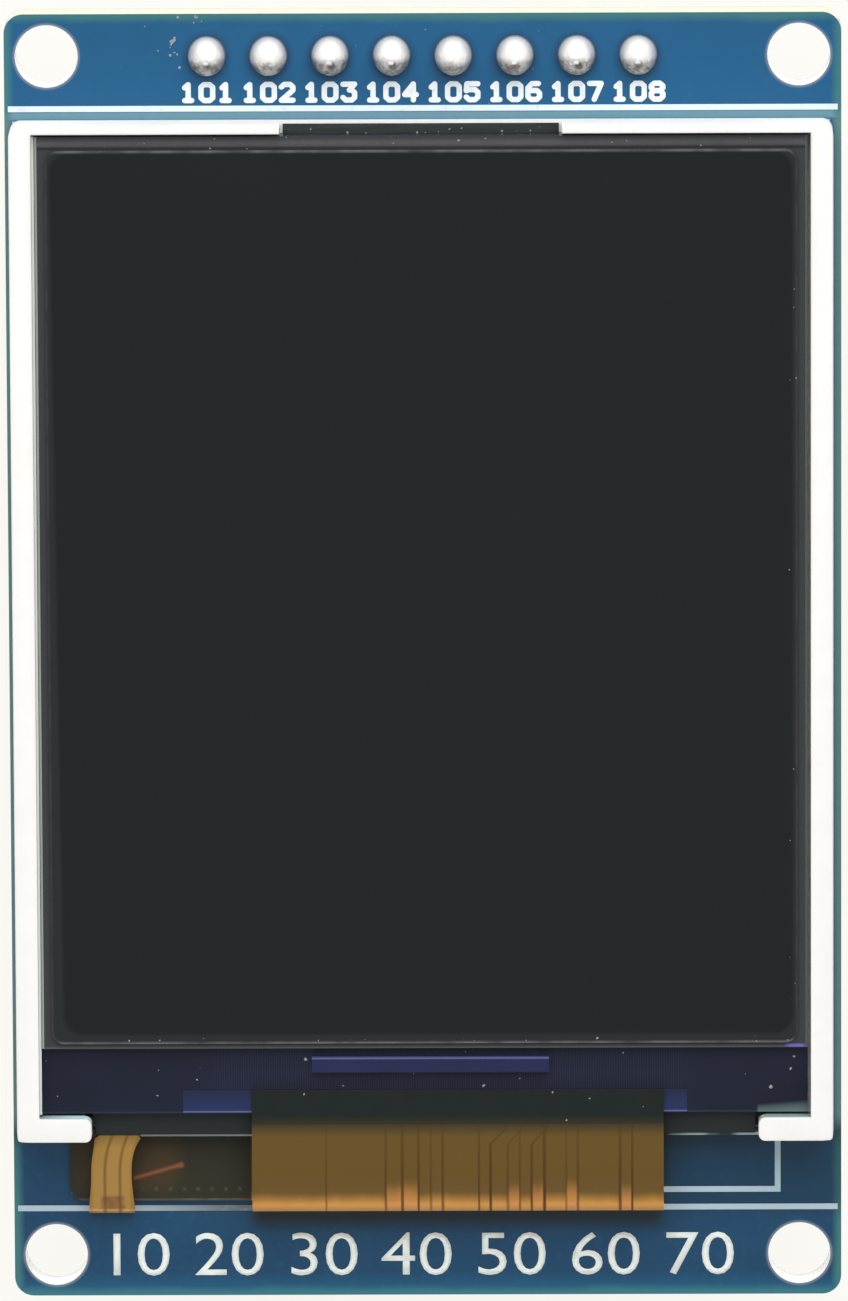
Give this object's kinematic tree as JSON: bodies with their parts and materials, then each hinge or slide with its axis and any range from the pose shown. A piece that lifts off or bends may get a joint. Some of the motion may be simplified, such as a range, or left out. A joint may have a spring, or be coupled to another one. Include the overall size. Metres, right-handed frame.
{
  "type": "tft display module",
  "caption": "Small colour TFT display module: LCD glass in a moulded backlight frame on a rectangular circuit board, with a folded flex tail, a back pin header and corner mounting holes.",
  "frame": {"origin": "centre of the rectangle of mounting holes, on the back face of the circuit board", "axes": "+Z out of the screen along the mounting-hole axes, +Y along the board towards the pin header, +X across the screen to the viewer's right"},
  "size_m": [0.0344, 0.054, 0.0126],
  "materials": {
    "solder_mask": "glossy blue solder mask over copper, cream laminate at the cut edges",
    "ink": "printed white ink",
    "header_plastic": "moulded black plastic",
    "pin_metal": "gold-flashed brass",
    "solder": "bright tin solder",
    "foam": "white foam tape",
    "frame_plastic": "moulded white plastic",
    "reflector": "silvery reflector film",
    "acrylic": "clear acrylic light guide",
    "film": "milky optical film",
    "black_tape": "black adhesive tape",
    "lamp_case": "white lamp housing",
    "tail_film": "amber polyimide over copper tracks",
    "polarizer": "grey polarizing film",
    "ledge_glass": "glass over dark tape, read as solid because what lies under it is black",
    "border_glass": "glass over dark tape, read as solid because what lies under it is black",
    "screen": "glossy near-black polarizer",
    "silicon": "polished blue-violet silicon",
    "bond": "bluish conductive bonding film",
    "flex_film": "amber polyimide over copper tracks",
    "dark_coat": "dark green cover coat",
    "moulded_part": "black moulded body with tinned legs",
    "resistor": "black glazed top, tinned ends",
    "ceramic": "tan ceramic, tinned ends"
  },
  "bodies": {
    "root": {"circuit_board": "solder_mask", "silkscreen_lines": "ink", "header_strip": "header_plastic", "header_pins": "pin_metal", "solder_joints": "solder", "foam_tape": "foam", "backlight_frame": "frame_plastic", "reflector_film": "reflector", "light_guide": "acrylic", "diffuser_film": "film", "prism_film_lower": "film", "prism_film_upper": "film", "rim_tape": "black_tape", "backlight_leds": "lamp_case", "backlight_flex": "tail_film", "rear_polarizer": "polarizer", "array_glass": "ledge_glass", "colour_filter_glass": "border_glass", "front_polarizer": "screen", "driver_chip": "silicon", "bonding_film": "bond", "main_flex": "flex_film", "mask_coat": "dark_coat", "flex_solder": "solder", "voltage_regulator": "moulded_part", "backlight_transistor": "moulded_part", "chip_resistors": "resistor", "chip_capacitors": "ceramic"}
  },
  "joints": []
}
